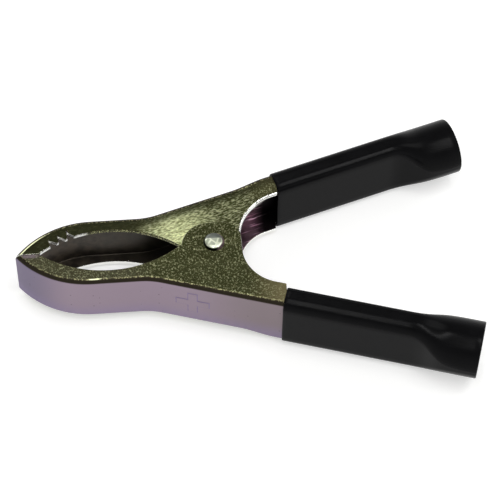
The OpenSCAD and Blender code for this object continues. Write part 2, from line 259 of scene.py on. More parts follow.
def cheek_film(tree, place, inner, painted_glare, shade_by_fold, near_sleeve):
    """Colour and relief of the cheeks' olive film: dark with pale flecks, partly the grain and partly painted
    glints, which run along the handle on the inner cheek. It has a painted glare by the ear, painted shade by
    the fold and over the inner jaw, a painted lilac reflection on the nose, and a brown tint by the sleeve
    painted paler as light."""
    x = add_node(tree, SPLIT, [place])
    # Clouds in the film, 3 mm across
    clouds = add_node(tree, NOISE, {"Vector": place, "Scale": 1 / 3.0, "Detail": 2.0})
    # Flecks of the zinc's grain 0.4 mm across, coarser than the real 0.2 mm so that they show; their pale
    # colour is partly the grain's and partly painted glints
    askew = add_node(tree, MAPPING, {"Vector": place, "Rotation": (0.5, 0.3, 0.7)}, **TEXTURE)
    grain = add_node(tree, NOISE, {"Vector": askew, "Scale": 1 / 0.4, "Detail": 4.0, "Roughness": 0.75})
    # Rolling streaks 0.24 mm wide and 0.8 mm long
    streak = {"Vector": place, "Rotation": ALONG_HANDLE, "Scale": (0.8, 0.24, 0.24)}
    along = add_node(tree, MAPPING, streak, **TEXTURE)
    streaks = add_node(tree, NOISE, {"Vector": along, "Scale": 1.0, "Detail": 2.0})
    relief = add_node(tree, MIX, {"Factor": inner, "A": grain, "B": streaks}, data_type="FLOAT")

    # Over the jaw there are fewer painted glints, most of all on the inner cheek
    jaw = add_node(tree, RANGE, [x, *JAW_X, 0.9, 0.0], **SMOOTH)
    fleck_level = add_node(tree, RANGE, [inner, 0.0, 1.0, OUTER_FLECKS, INNER_FLECKS])
    glint_flecks = add_node(tree, RANGE, [relief, fleck_level, FULL_FLECKS])
    clear = add_node(tree, RANGE, [inner, 0.0, 1.0, 0.2, 0.85])
    clear = add_node(tree, MATH, [clear, jaw], operation="MULTIPLY")
    clear = add_node(tree, MATH, [1.0, clear], operation="SUBTRACT")
    glint_flecks = add_node(tree, MATH, [glint_flecks, clear], operation="MULTIPLY")

    # The outer nose beside the mouth is painted lilac, a painted reflection
    nose = add_node(tree, RANGE, [x, *LILAC_NOSE_X, 1.0, 0.0], **SMOOTH)
    by_mouth = add_node(tree, RANGE, [x.node.outputs["Y"], *LILAC_NOSE_Y, 0.8, 0.0], **SMOOTH)
    outer = add_node(tree, MATH, [1.0, inner], operation="SUBTRACT")
    nose = add_node(tree, MATH, [nose, by_mouth], operation="MULTIPLY")
    nose = add_node(tree, MATH, [nose, outer], operation="MULTIPLY")

    base = add_node(tree, MIX, {"Factor": clouds, "A": "#35371F", "B": "#4C4E34"}, **COLOURS)
    # Over the jaw the inner cheek is painted darker as shade, and the outer one a greyer olive
    jaw_tone = add_node(tree, MIX, {"Factor": inner, "A": "#504E3C", "B": "#34351F"}, **COLOURS)
    base = add_node(tree, MIX, {"Factor": jaw, "A": base, "B": jaw_tone}, **COLOURS)
    pale = add_node(tree, MIX, {"Factor": inner, "A": "#E2E4B0", "B": "#C3C69A"}, **COLOURS)
    film = add_node(tree, MIX, {"Factor": glint_flecks, "A": base, "B": pale}, **COLOURS)
    # The painted glare by the ear, bright in patches
    glare_patches = add_node(tree, RANGE, [relief, *GLARE_PATCHES])
    glare_colour = add_node(tree, MIX, {"Factor": glare_patches, "A": "#949A68", "B": "#F8FDC6"}, **COLOURS)
    film = add_node(tree, MIX, {"Factor": painted_glare, "A": film, "B": glare_colour}, **COLOURS)
    # Painted shade by the back fold, and the nose's painted lilac
    film = add_node(tree, MIX, {"Factor": shade_by_fold, "A": film, "B": "#2F301F"}, **COLOURS)
    film = add_node(tree, MIX, {"Factor": nose, "A": film, "B": "#8A7C84"}, **COLOURS)
    # A brown tint by the sleeve, painted paler than the cheek as light
    sleeve_tint = add_node(tree, MATH, [near_sleeve, SLEEVE_TINT], operation="MULTIPLY")
    film = add_node(tree, MIX, {"Factor": sleeve_tint, "A": film, "B": "#857A5B"}, **COLOURS)
    return film, relief


def web_film(tree, place):
    """Lilac film of the webs, bluer towards the table and painted darker and bluer at the nose as shade, with
    a few specks of dirt.
    """
    x = add_node(tree, SPLIT, [place])
    back = add_node(tree, RANGE, [x, *WEB_BACK_X], **SMOOTH)
    # Painted shade at the nose, where the web turns to face sideways
    nose = add_node(tree, RANGE, [x, *WEB_NOSE_SHADE_X, 0.8, 0.0], **SMOOTH)
    position = add_node(tree, "ShaderNodeNewGeometry", output="Position")
    height = add_node(tree, SPLIT, [position]).node.outputs["Z"]
    low = add_node(tree, RANGE, [height, *WEB_LOW_HEIGHT, 0.6, 0.0], **SMOOTH)
    # Specks 2.4 mm apart and 0.3 mm across
    specks = add_node(tree, VORONOI, {"Vector": place, "Scale": 1 / 2.4})
    dirt = add_node(tree, RANGE, [specks, *SPECK_RIM, 0.55, 0.0], **SMOOTH)
    film = add_node(tree, MIX, {"Factor": back, "A": "#988996", "B": "#887C81"}, **COLOURS)
    film = add_node(tree, MIX, {"Factor": nose, "A": film, "B": "#6F6880"}, **COLOURS)
    film = add_node(tree, MIX, {"Factor": low, "A": film, "B": "#8D80A2"}, **COLOURS)
    return add_node(tree, MIX, {"Factor": dirt, "A": film, "B": "#4A4048"}, **COLOURS)


def passivated_steel():
    """Rolled steel sheet, zinc plated and yellow passivated. The level cheeks are dark olive and the upright
    webs lilac:
    the film's hue, and painted shade. The cheeks' pale flecks are partly painted glints, and a painted glare
    lies on the inner cheek by the other ear. The folds are painted dark as shade, with a painted dotted
    highlight beside the cheek that is solid at the inner cheek's tip and at the outer cheek's belly."""
    material, tree, shader = new_material("zinc_plated_steel_rolled_passivated")
    place = stamping_place(tree)
    x = add_node(tree, SPLIT, [place])
    inner = add_node(tree, RANGE, [x.node.outputs["Z"], *OUTER_CHEEK_Z, 1.0, 0.0])
    # A painted glare on the inner cheek, fading away from a point by the other arm's ear
    away = add_node(tree, "ShaderNodeVectorMath", [place, GLARE_PLACE], operation="DISTANCE")
    painted_glare = add_node(tree, RANGE, [away, *GLARE_REACH, 1.0, 0.0])
    painted_glare = add_node(tree, MATH, [painted_glare, GLARE_FALL], operation="POWER")
    painted_glare = add_node(tree, MATH, [painted_glare, inner], operation="MULTIPLY")

    # How level the sheet lies, 1 on the cheeks and 0 on the webs; the joggle is part of the cheek
    normal = add_node(tree, "ShaderNodeNewGeometry", output="Normal")
    facing = add_node(tree, SPLIT, [normal]).node.outputs["Z"]
    level = add_node(tree, MATH, [facing], operation="ABSOLUTE")
    turned = add_node(tree, MAPPING, {"Vector": place, "Rotation": ALONG_HANDLE}, **TEXTURE)
    u = add_node(tree, SPLIT, [turned])
    v = u.node.outputs["Y"]
    past = add_node(tree, MATH, [u, JOGGLE_FROM_U], operation="GREATER_THAN")
    below = add_node(tree, MATH, [v, JOGGLE_BELOW_V], operation="LESS_THAN")
    joggle = add_node(tree, MATH, [past, below], operation="MULTIPLY")
    level = add_node(tree, MATH, [level, joggle], operation="MAXIMUM")

    # Past the joggle both cheeks lie outside, and the inner one is told by the side that its arm is on
    unfolded = add_node(tree, SPLIT, [about_pivot(tree)]).node.outputs
    side = add_node(tree, MATH, [unfolded["Y"], unfolded["Z"]], operation="MULTIPLY")
    side = add_node(tree, MATH, [side, 0.0], operation="GREATER_THAN")
    side = add_node(tree, MATH, [side, past], operation="MULTIPLY")
    inner_cheek = add_node(tree, MATH, [inner, side], operation="MAXIMUM")
    outer_cheek = add_node(tree, MATH, [1.0, inner_cheek], operation="SUBTRACT")
    # Painted shade on the inner cheek by the back fold
    shade_by_fold = add_node(tree, RANGE, [v, *SHADE_BY_FOLD_V, 0.0, 0.85], **SMOOTH)
    shade_by_fold = add_node(tree, MATH, [shade_by_fold, inner_cheek], operation="MULTIPLY")

    # The brown by the sleeve, a tint and painted light, is mostly on the outer cheek
    near_sleeve = add_node(tree, RANGE, [x, *NEAR_SLEEVE_X], **SMOOTH)
    tint_share = add_node(tree, RANGE, [inner_cheek, 0.0, 1.0, 1.0, 0.25])
    near_sleeve = add_node(tree, MATH, [near_sleeve, tint_share], operation="MULTIPLY")

    # A painted highlight beside the fold, broken into dots 0.4 mm apart and solid at the tip and at the belly
    dots = add_node(tree, NOISE, {"Vector": place, "Scale": 1 / 0.4, "Detail": 1.0})
    highlight_dots = add_node(tree, RANGE, [dots, *HIGHLIGHT_DOTS], **SMOOTH)
    tip = add_node(tree, RANGE, [x, *HIGHLIGHT_TIP_X, 1.0, 0.0])
    tip = add_node(tree, MATH, [tip, inner_cheek], operation="MULTIPLY")
    from_belly = add_node(tree, MATH, [x, HIGHLIGHT_BELLY_X], operation="SUBTRACT")
    from_belly = add_node(tree, MATH, [from_belly], operation="ABSOLUTE")
    belly = add_node(tree, RANGE, [from_belly, *HIGHLIGHT_BELLY_REACH, 1.0, 0.0])
    belly = add_node(tree, MATH, [belly, outer_cheek], operation="MULTIPLY")
    shine = add_node(tree, MATH, [tip, belly], operation="MAXIMUM")
    highlight_dots = add_node(tree, MATH, [highlight_dots, shine], operation="MAXIMUM")
    highlight_top = add_node(tree, RANGE, [level, *HIGHLIGHT_TOP_LEVEL, 1.0, 0.0], **SMOOTH)
    fold_highlight = add_node(tree, RANGE, [level, *HIGHLIGHT_LEVEL], **SMOOTH)
    fold_highlight = add_node(tree, MATH, [fold_highlight, highlight_top], operation="MULTIPLY")
    fold_highlight = add_node(tree, MATH, [fold_highlight, highlight_dots], operation="MULTIPLY")

    olive, relief = cheek_film(tree, place, inner, painted_glare, shade_by_fold, near_sleeve)
    lilac = web_film(tree, place)
    # The upright webs are painted lilac, the folds dark and the level cheeks dark olive: the film's hue, and
    # painted shade by how each face lies
    fold_shade = add_node(tree, RANGE, [level, *FOLD_SHADE_LEVEL], **SMOOTH)
    cheek = add_node(tree, RANGE, [level, *CHEEK_LEVEL], **SMOOTH)
    colour = add_node(tree, MIX, {"Factor": fold_shade, "A": lilac, "B": "#332E25"}, **COLOURS)
    colour = add_node(tree, MIX, {"Factor": cheek, "A": colour, "B": olive}, **COLOURS)
    # The painted highlight beside the fold, palest at the tip and at the belly
    highlight_colour = add_node(tree, MIX, {"Factor": shine, "A": "#9C9972", "B": "#F2F4C8"}, **COLOURS)
    colour = add_node(tree, MIX, {"Factor": fold_highlight, "A": colour, "B": highlight_colour}, **COLOURS)
    tree.links.new(colour, shader.inputs["Base Color"])
    shader.inputs["Metallic"].default_value = 1.0

    roughness = add_node(tree, RANGE, [near_sleeve, 0.0, 1.0, CHEEK_ROUGHNESS, BY_SLEEVE_ROUGHNESS])
    roughness = add_node(tree, MIX, {"Factor": cheek, "A": WEB_ROUGHNESS, "B": roughness}, data_type="FLOAT")
    tree.links.new(roughness, shader.inputs["Roughness"])
    depth = add_node(tree, RANGE, [near_sleeve, 0.0, 1.0, 1.0, 0.3])
    depth = add_node(tree, MATH, [depth, cheek], operation="MULTIPLY")
    relief = add_node(tree, MATH, [relief, depth], operation="MULTIPLY")
    bump = {"Height": relief, "Strength": 1.0, "Distance": RELIEF_DEPTH * MM}
    tree.links.new(add_node(tree, "ShaderNodeBump", bump), shader.inputs["Normal"])
    return material


def channel_inside():
    """The same plated sheet inside the channel, where the film is duller: brown grey in the jaw, painted
    darker deeper in as shade, wine red with painted pink highlight streaks by the throat, and painted black
    shade towards the sleeve."""
    material, tree, shader = new_material("zinc_plated_steel_stained_inside")
    place = stamping_place(tree)
    x = add_node(tree, SPLIT, [place])
    # Stains 2.5 mm across
    stains = add_node(tree, NOISE, {"Vector": place, "Scale": 1 / 2.5, "Detail": 3.0})
    stained = add_node(tree, RANGE, [stains, *STAINS], **SMOOTH)
    # Painted highlights: pink streaks 0.5 mm wide and 6 mm long, along the handle
    highlight_streak = {"Vector": place, "Rotation": ALONG_HANDLE, "Scale": (6.0, 0.5, 0.5)}
    along = add_node(tree, MAPPING, highlight_streak, **TEXTURE)
    streak_noise = add_node(tree, NOISE, {"Vector": along, "Scale": 1.0, "Detail": 2.0})
    painted_streaks = add_node(tree, RANGE, [streak_noise, *STREAK_HIGHLIGHTS], **SMOOTH)
    # Painted shade deeper into the jaw
    deep_shade = add_node(tree, RANGE, [x, *DEEP_JAW_SHADE_X, 0.0, 0.8], **SMOOTH)
    back = add_node(tree, RANGE, [x, *WINE_X], **SMOOTH)
    # Painted black shade towards the sleeve
    sleeve_shade = add_node(tree, RANGE, [x, *SLEEVE_SHADE_X], **SMOOTH)
    jaw = add_node(tree, MIX, {"Factor": stained, "A": "#3D3833", "B": "#595148"}, **COLOURS)
    jaw = add_node(tree, MIX, {"Factor": deep_shade, "A": jaw, "B": "#3A362F"}, **COLOURS)
    wine = add_node(tree, MIX, {"Factor": stained, "A": "#6A525C", "B": "#8E7480"}, **COLOURS)
    wine = add_node(tree, MIX, {"Factor": painted_streaks, "A": wine, "B": "#F2C4DC"}, **COLOURS)
    wine = add_node(tree, MIX, {"Factor": sleeve_shade, "A": wine, "B": "#1C1418"}, **COLOURS)
    colour = add_node(tree, MIX, {"Factor": back, "A": jaw, "B": wine}, **COLOURS)
    tree.links.new(colour, shader.inputs["Base Color"])
    roughness = add_node(tree, RANGE, [stains, *NOISE_SPAN, *INSIDE_ROUGHNESS])
    tree.links.new(roughness, shader.inputs["Roughness"])
    shader.inputs["Metallic"].default_value = 0.8
    return material


def sheared_edge():
    """The plated steel where the press sheared it: smooth and nearly white; along the inner cheek's mouth it
    is darker, with dots of painted highlight."""
    material, tree, shader = new_material("zinc_plated_steel_sheared_edge")
    place = stamping_place(tree)
    x = add_node(tree, SPLIT, [place])
    # Marks of the shear, 0.3 mm across
    marks = add_node(tree, NOISE, {"Vector": place, "Scale": 1 / 0.3, "Detail": 2.0})
    bright = add_node(tree, MIX, {"Factor": marks, "A": "#F4F4EC", "B": "#FFFFFF"}, **COLOURS)
    # Along the inner cheek's mouth the edge is darker, with dots of painted highlight
    highlight_dots = add_node(tree, RANGE, [marks, *HIGHLIGHT_DOTS], **SMOOTH)
    dark_dotted = add_node(tree, MIX, {"Factor": highlight_dots, "A": "#3F3F2A", "B": "#C4C48E"}, **COLOURS)
    front = add_node(tree, RANGE, [x, *DARK_MOUTH_FRONT_X], **SMOOTH)
    back = add_node(tree, RANGE, [x, *DARK_MOUTH_BACK_X, 1.0, 0.0], **SMOOTH)
    inner_top = INNER_HALF + CHEEK_GAP / 2
    inner = add_node(tree, MATH, [x.node.outputs["Z"], inner_top], operation="LESS_THAN")
    dark_mouth = add_node(tree, MATH, [front, back], operation="MULTIPLY")
    dark_mouth = add_node(tree, MATH, [dark_mouth, inner], operation="MULTIPLY")
    colour = add_node(tree, MIX, {"Factor": dark_mouth, "A": bright, "B": dark_dotted}, **COLOURS)
    tree.links.new(colour, shader.inputs["Base Color"])
    shader.inputs["Metallic"].default_value = 1.0
    shader.inputs["Roughness"].default_value = 0.25
    return material


def pressed_outline():
    """The plating along the pressed sign's slopes: a darker purple."""
    material, tree, shader = new_material("zinc_plated_steel_pressed")
    # Uneven film, 0.8 mm across
    film = add_node(tree, NOISE, {"Vector": stamping_place(tree), "Scale": 1 / 0.8})
    colour = add_node(tree, MIX, {"Factor": film, "A": "#6F6284", "B": "#8B7D97"}, **COLOURS)
    tree.links.new(colour, shader.inputs["Base Color"])
    shader.inputs["Metallic"].default_value = 1.0
    shader.inputs["Roughness"].default_value = 0.4
    return material


# On the rivet, in millimetres: its zinc crystals, the edge of the far third's painted shade, the foot's edge
# and where the foot's painted shadow ends
CRYSTAL = 1.7
FAR_SHADE_Y = (0.45, 0.65)
FOOT_Z = (FOOT_TOP, FOOT_TOP + 0.08)
FOOT_SHADOW_X = (0.3, 1.2)
# Width of the painted glints on the crystals' borders, as a share of a crystal
GLINT_BORDER = (0.02, 0.16)


def rivet_steel():
    """Bright zinc-plated rivet wire, headed cold: pale crystals with painted glints on their borders, the far
    third painted grey as shade, and at the head's foot a painted shadow on the jaw's side and a painted lilac
    glint beyond it."""
    material, tree, shader = new_material("zinc_plated_rivet_steel_headed")
    place = about_pivot(tree)
    x = add_node(tree, SPLIT, [place])
    across = add_node(tree, MATH, [x.node.outputs["Z"]], operation="ABSOLUTE")
    pattern = {"Vector": place, "Scale": 1 / CRYSTAL}
    crystals = add_node(tree, VORONOI, pattern, output="Color")
    borders = add_node(tree, VORONOI, pattern, feature="DISTANCE_TO_EDGE")
    border_glints = add_node(tree, RANGE, [borders, *GLINT_BORDER, 0.8, 0.0], **SMOOTH)
    # The face's far third is painted grey, as shade
    far_shade = add_node(tree, RANGE, [x.node.outputs["Y"], *FAR_SHADE_Y])
    foot = add_node(tree, RANGE, [across, *FOOT_Z, 1.0, 0.0], **SMOOTH)
    foot_shadow = add_node(tree, RANGE, [x, *FOOT_SHADOW_X, 1.0, 0.0], **SMOOTH)
    face = add_node(tree, MIX, {"Factor": crystals, "A": "#AEB4A4", "B": "#C6CCB8"}, **COLOURS)
    face = add_node(tree, MIX, {"Factor": border_glints, "A": face, "B": "#FBFFEA"}, **COLOURS)
    face = add_node(tree, MIX, {"Factor": far_shade, "A": face, "B": "#7C817B"}, **COLOURS)
    # The foot: a painted shadow on the jaw's side, and a painted lilac glint on the other side
    flank = add_node(tree, MIX, {"Factor": foot_shadow, "A": "#CDAACB", "B": "#141311"}, **COLOURS)
    colour = add_node(tree, MIX, {"Factor": foot, "A": face, "B": flank}, **COLOURS)
    tree.links.new(colour, shader.inputs["Base Color"])
    shader.inputs["Metallic"].default_value = 1.0
    shader.inputs["Roughness"].default_value = 0.35
    return material


def drawn_wire():
    """Drawn spring steel wire, zinc plated: darker than the sheet, with fine drawing marks."""
    material, tree, shader = new_material("spring_steel_wire_drawn")
    # Drawing marks of 0.2 mm
    marks = add_node(tree, NOISE, {"Vector": stamping_place(tree), "Scale": 1 / 0.2, "Detail": 2.0})
    colour = add_node(tree, MIX, {"Factor": marks, "A": "#6E6A66", "B": "#8F8A86"}, **COLOURS)
    tree.links.new(colour, shader.inputs["Base Color"])
    shader.inputs["Metallic"].default_value = 1.0
    shader.inputs["Roughness"].default_value = 0.36
    return material


def dipped_pvc():
    """Soft black PVC, dip moulded: deep black, with a satin skin that is slightly uneven."""
    material, tree, shader = new_material("soft_pvc_black_dip_moulded")
    place = add_node(tree, "ShaderNodeTexCoord", output="Object")
    # Uneven skin of the dip, 4 mm across
    skin = add_node(tree, NOISE, {"Vector": place, "Scale": 1 / (4 * MM), "Detail": 3.0})
    # Fine pits of the skin, 0.5 mm across and 0.008 mm deep, coarser than the real ones so that they show
    pits = add_node(tree, NOISE, {"Vector": place, "Scale": 1 / (0.5 * MM), "Detail": 2.0})
    colour = add_node(tree, MIX, {"Factor": skin, "A": "#09090A", "B": "#101012"}, **COLOURS)
    tree.links.new(colour, shader.inputs["Base Color"])
    roughness = add_node(tree, RANGE, [skin, *NOISE_SPAN, *PVC_ROUGHNESS])
    tree.links.new(roughness, shader.inputs["Roughness"])
    shader.inputs["IOR"].default_value = 1.53
    shader.inputs["Specular IOR Level"].default_value = 0.045
    bump = {"Height": pits, "Strength": 1.0, "Distance": 0.008 * MM}
    tree.links.new(add_node(tree, "ShaderNodeBump", bump), shader.inputs["Normal"])
    return material


def arc(centre, radius, start, stop, steps):
    """Points along an arc, angles in degrees."""
    angles = np.radians(np.linspace(start, stop, steps + 1))
    return np.array(centre) + radius * np.stack([np.cos(angles), np.sin(angles)], -1)


def handle_point(u, v):
    """A point along and above the handle, turned to the clip's directions."""
    return [u * COS_HANDLE - v * SIN_HANDLE, u * SIN_HANDLE + v * COS_HANDLE]


def ring_faces(total, count, closed=False):
    """Quads between rings of points, and from the last ring to the first one where they close."""
    return [[r * count + i, r * count + (i + 1) % count,
             (r + 1) % total * count + (i + 1) % count, (r + 1) % total * count + i]
            for r in range(total if closed else total - 1) for i in range(count)]


# Half a turn about the clip's long axis, which makes one arm into the other
HALF_TURN = np.array([1, -1, -1])


def add_piece(name, points, faces, turned_over=False, slots=()):
    """A mesh object from points in millimetres about the pivot, smooth shaded, with each face's material."""
    points = np.asarray(points, float)
    if turned_over:
        points = points * HALF_TURN
    mesh = bpy.data.meshes.new(name)
    mesh.from_pydata((points * MM + PIVOT).tolist(), [], faces)
    mesh.shade_smooth()
    for polygon, slot in zip(mesh.polygons, slots):
        polygon.material_index = slot
    piece = bpy.data.objects.new(name, mesh)
    bpy.context.collection.objects.link(piece)
    return piece


def settle(piece):
    """Makes what a piece's modifiers give its own mesh."""
    bpy.context.view_layer.update()
    shaped = piece.evaluated_get(bpy.context.evaluated_depsgraph_get())
    piece.data = bpy.data.meshes.new_from_object(shaped)
    piece.modifiers.clear()


def combine(piece, tool, operation):
    """Cuts a piece with a tool body, or joins them, and takes the tool away."""
    modifier = piece.modifiers.new(operation.lower(), "BOOLEAN")
    modifier.operation = operation
    modifier.solver = "EXACT"
    modifier.object = tool
    settle(piece)
    bpy.data.objects.remove(tool)


# Material slots of an arm
OUTSIDE_SLOT, EDGE_SLOT, INSIDE_SLOT, SIGN_SLOT = range(4)


def prism(name, outline, low, high, turned_over=False):
    """A body with that plan between two heights, all its faces in the sheared edge's material."""
    count = len(outline)
    points = [[x, y, z] for z in (low, high) for x, y in outline]
    faces = ring_faces(2, count) + [list(range(count - 1, -1, -1)), list(range(count, 2 * count))]
    return add_piece(name, points, faces, turned_over, [EDGE_SLOT] * len(faces))


# Steps along the folds, the jaw's back, the knee, the joggle, the trimmed edges and the rivet's hole
FOLD_STEPS = 10
JAW_STEPS = 32
KNEE_STEPS = 12
JOGGLE_STEPS = 16
EDGE_STEPS = 40
HOLE_STEPS = 48

# The jaw's back is an arc that drops from the belly to the nose and runs on a few degrees past the tip
JAW_OVERRUN = 4
JAW_DROP = JAW_HEIGHT - NOSE_HALF
JAW_RUN = JAW_REACH - BELLY_REACH
JAW_RADIUS = (JAW_RUN ** 2 + JAW_DROP ** 2) / (2 * JAW_DROP)
JAW_TURN = math.degrees(math.atan2(JAW_RUN, JAW_RADIUS - JAW_DROP)) + JAW_OVERRUN
JAW_FLANGE = JAW_HEIGHT + SHEET
EAR_FLANGE = HANDLE_OFFSET + EAR_DROP + EAR_HALF
KNEE_X = (JAW_HEIGHT - HANDLE_OFFSET / COS_HANDLE) * COS_HANDLE / SIN_HANDLE
KNEE_START_X = KNEE_X - KNEE_RADIUS * math.tan(math.radians(HANDLE_ANGLE / 2))
JOGGLE_END_U = SLEEVE_START - JOGGLE_LEAD
HANDLE_EDGE_V = HANDLE_OFFSET - HANDLE_DEPTH


def channel_outline(high, flange):
    """The folded section: depth from the web's back, and height across the clip."""
    low = -HALF_WIDTH
    low_centre = (BEND_RADIUS, low + BEND_RADIUS)
    high_centre = (BEND_RADIUS, high - BEND_RADIUS)
    return np.vstack([
        [[flange, low]],
        arc(low_centre, BEND_RADIUS, 270, 180, FOLD_STEPS),
        arc(high_centre, BEND_RADIUS, 180, 90, FOLD_STEPS),
        [[flange, high], [flange, high - SHEET]],
        arc(high_centre, FOLD_RADIUS, 90, 180, FOLD_STEPS),
        arc(low_centre, FOLD_RADIUS, 180, 270, FOLD_STEPS),
        [[flange, low + SHEET]],
    ])


def arm_rings():
    """Sections of the folded sheet from past the jaw's tip to the end of the handle."""
    rings = []
    section = channel_outline(INNER_HALF, JAW_FLANGE)
    for angle in np.radians(np.linspace(JAW_TURN, 0, JAW_STEPS + 1)):
        reach = JAW_RADIUS - section[:, 0]
        x = -BELLY_REACH - reach * math.sin(angle)
        y = JAW_HEIGHT - JAW_RADIUS + reach * math.cos(angle)
        rings.append(np.stack([x, y, section[:, 1]], -1))
    for step, angle in enumerate(np.radians(np.linspace(0, HANDLE_ANGLE, KNEE_STEPS + 1))):
        section = channel_outline(INNER_HALF, EAR_FLANGE if step else JAW_FLANGE)
        reach = KNEE_RADIUS + section[:, 0]
        x = KNEE_START_X + reach * math.sin(angle)
        y = JAW_HEIGHT + KNEE_RADIUS - reach * math.cos(angle)
        rings.append(np.stack([x, y, section[:, 1]], -1))
    stations = [(JOGGLE_END_U - JOGGLE_LENGTH * (1 - t), t * t * (3 - 2 * t))
                for t in np.linspace(0, 1, JOGGLE_STEPS + 1)]
    for u, rise in stations + [(HANDLE_REACH, 1.0)]:
        section = channel_outline(INNER_HALF + (HALF_WIDTH - INNER_HALF) * rise, EAR_FLANGE)
        x, y = handle_point(u, HANDLE_OFFSET - section[:, 0])
        rings.append(np.stack([x, y, section[:, 1]], -1))
    return rings


# The mouth's edge is an arc from the nose to the ear, and at the front angle it meets the nose
MOUTH_LENGTH = JAW_REACH - MOUTH_BACK - NOSE_LENGTH
MOUTH_RADIUS = (MOUTH_LENGTH ** 2 / 4 + MOUTH_HEIGHT ** 2) / (2 * MOUTH_HEIGHT)
MOUTH_CENTRE_Y = MOUTH_HEIGHT - MOUTH_RADIUS
MOUTH_FRONT = math.acos((NOSE_HALF - MOUTH_CENTRE_Y) / MOUTH_RADIUS)


def mouth_point(angle, rise=0.0):
    """A point at an angle along the mouth's edge, counted from its middle towards the tip."""
    middle_x = -MOUTH_BACK - MOUTH_LENGTH / 2
    radius = MOUTH_RADIUS + rise
    return [middle_x - radius * math.sin(angle), MOUTH_CENTRE_Y + radius * math.cos(angle)]


def mouth_edge():
    """Edge of the mouth from the nose to the ear."""
    joint_y = EAR_FRONT_RADIUS - EAR_DROP + EAR_FRONT_RADIUS * math.sin(math.radians(EAR_FRONT_FROM))
    back = -math.acos((joint_y - MOUTH_CENTRE_Y) / MOUTH_RADIUS)
    return [mouth_point(angle) for angle in np.linspace(MOUTH_FRONT, back, EDGE_STEPS + 1)]


def notch(number):
    """Plan of one saw-shaped notch, reaching a sheet thickness past the mouth's edge."""
    middle = MOUTH_FRONT - (NOTCH_START + number * NOTCH_PITCH) / MOUTH_RADIUS
    half = NOTCH_WIDTH / 2 / MOUTH_RADIUS
    return [
        mouth_point(middle - half, -SHEET),
        mouth_point(middle - half),
        mouth_point(middle + half / 2, NOTCH_DEPTH),
        mouth_point(middle + half),
        mouth_point(middle + half, -SHEET),
    ]


def trimmed_plan():
    """What the press leaves of the sheet, in plan: nose, mouth, ears, throat and handle."""
    front_step = (270 - EAR_FRONT_FROM) / EDGE_STEPS
    ear_side = EAR_HALF - EAR_CORNER
    ear_y = EAR_CORNER - EAR_DROP
    shoulder_u = SLEEVE_START - SLEEVE_CLEARANCE
    far = 2 * HANDLE_REACH
    tip_x = -JAW_REACH - SHEET
    return np.vstack([
        [[tip_x, NOSE_HALF]],
        mouth_edge(),
        arc((-EAR_FRONT_LEAD, EAR_FRONT_RADIUS - EAR_DROP), EAR_FRONT_RADIUS,
            EAR_FRONT_FROM + front_step, 270, EDGE_STEPS - 1),
        arc((ear_side, ear_y), EAR_CORNER, 270, 360, EDGE_STEPS // 2),
        arc((THROAT_X, THROAT_Y), THROAT_RADIUS, 180, 90 + HANDLE_ANGLE, EDGE_STEPS),
        [
            handle_point(shoulder_u - SHOULDER_LENGTH, THROAT_EDGE_V),
            handle_point(shoulder_u, HANDLE_EDGE_V),
            handle_point(far, HANDLE_EDGE_V),
            handle_point(far, far),
            [tip_x, far],
        ],
    ])


# The plus sign on the lower web: its place along the handle and across the clip, and its sizes
PLUS_U = -1.9
PLUS_Z = -1.1
PLUS_REACH = 3.6
PLUS_HALF = 0.95
PLUS_RISE = 0.1
PLUS_SLOPE = 0.22


def plus_outline(spread):
    """Corners of the sign, spread outward by a distance."""
    half, reach = PLUS_HALF + spread, PLUS_REACH + spread
    outline = []
    for turn in range(4):
        cos_turn, sin_turn = round(math.cos(turn * math.pi / 2)), round(math.sin(turn * math.pi / 2))
        corners = [(half, reach), (-half, reach), (-half, half)]
        outline += [(x * cos_turn - y * sin_turn, x * sin_turn + y * cos_turn) for x, y in corners]
    return outline


def plus_sign():
    """The pressed sign of the arm that is turned over: a body with sloping sides, sunk into the web."""
    rings = [(-PLUS_RISE, 2 * PLUS_SLOPE), (PLUS_RISE, 0.0)]
    points = []
    for rise, spread in rings:
        for along, across in plus_outline(spread):
            points.append(handle_point(PLUS_U + along, HANDLE_OFFSET + rise) + [PLUS_Z + across])
    count = len(points) // len(rings)
    slopes = [[a, d, c, b] for a, b, c, d in ring_faces(2, count)]
    ends = [list(range(count)), list(range(2 * count - 1, count - 1, -1))]
    slots = [SIGN_SLOT] * len(slopes) + [OUTSIDE_SLOT] * len(ends)
    return add_piece("plus_sign_body", points, slopes + ends, True, slots)


# Rounding of the sheared edges, and of the inner cheek's rim at the throat, which the press drew down
EDGE_ROUNDING = 0.1
RIM_ROUNDING = 0.42
ROUNDING_STEPS = 3
SHARP_ANGLE = math.radians(40)
# How near to the rim a point counts as on it, and how upright a level face's normal is at least
ON_RIM = 0.02
UPRIGHT = 0.98


def at_rim(point, turned_over, reach):
    """Whether a point of the mesh lies on the inner cheek's top within a reach of the throat's edge."""
    place = (np.array(point) - PIVOT) / MM
    x, y, z = place * HALF_TURN if turned_over else place
    beyond = math.hypot(x - THROAT_X, y - THROAT_Y) - THROAT_RADIUS
    if x * COS_HANDLE + y * SIN_HANDLE > THROAT_END_U:
        beyond = y * COS_HANDLE - x * SIN_HANDLE - THROAT_EDGE_V
    return z > INNER_HALF - SHEET / 2 and abs(beyond) < reach


